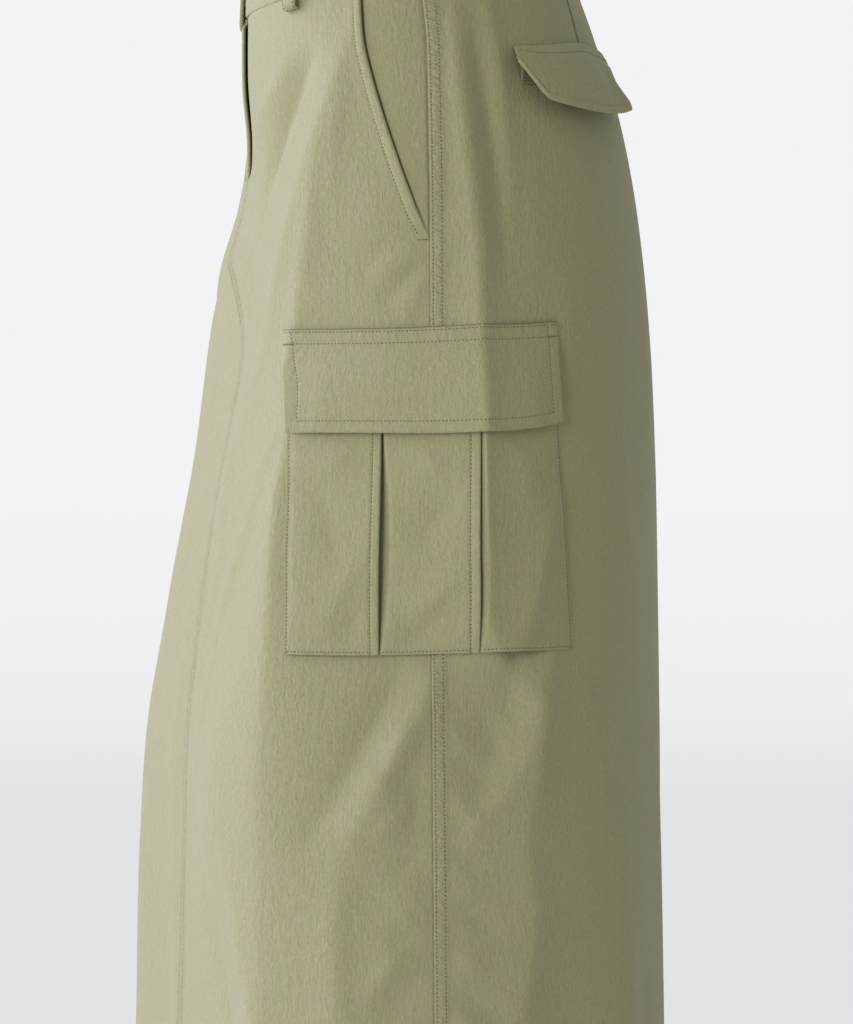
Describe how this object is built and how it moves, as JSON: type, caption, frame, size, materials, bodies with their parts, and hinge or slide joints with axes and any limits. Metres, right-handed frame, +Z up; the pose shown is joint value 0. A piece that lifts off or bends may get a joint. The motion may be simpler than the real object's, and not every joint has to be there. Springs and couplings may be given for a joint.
{
  "type": "cargo utility skirt",
  "caption": "Long A-line cargo skirt in its worn, hollow form, with a fly, slanted pockets, tucked cargo patch pockets with flaps, and flapped back pockets.",
  "frame": {"origin": "centre of the waist, level with the middle of the waistband at the side seams", "axes": "+Z up, -Y the way the wearer faces, +X the wearer's left"},
  "size_m": [0.4836, 0.3377, 0.9626],
  "materials": {
    "cloth": "crisp matt woven cloth",
    "zip": "woven tape",
    "metal": "satin"
  },
  "bodies": {
    "root": {"front_left": "cloth", "front_right": "cloth", "back_left": "cloth", "back_right": "cloth", "waistband": "cloth", "side_facing_left": "cloth", "side_facing_right": "cloth", "cargo_pocket_left": "cloth", "cargo_pocket_right": "cloth", "cargo_flap_left": "cloth", "cargo_flap_right": "cloth", "back_welt_left": "cloth", "back_welt_right": "cloth", "back_flap_left": "cloth", "back_flap_right": "cloth", "belt_loop_1": "cloth", "belt_loop_2": "cloth", "belt_loop_3": "cloth", "belt_loop_4": "cloth", "belt_loop_5": "cloth", "fly_shield": "cloth", "zip_tape": "zip", "zip_slider": "metal", "waist_hook": "metal"}
  },
  "joints": []
}
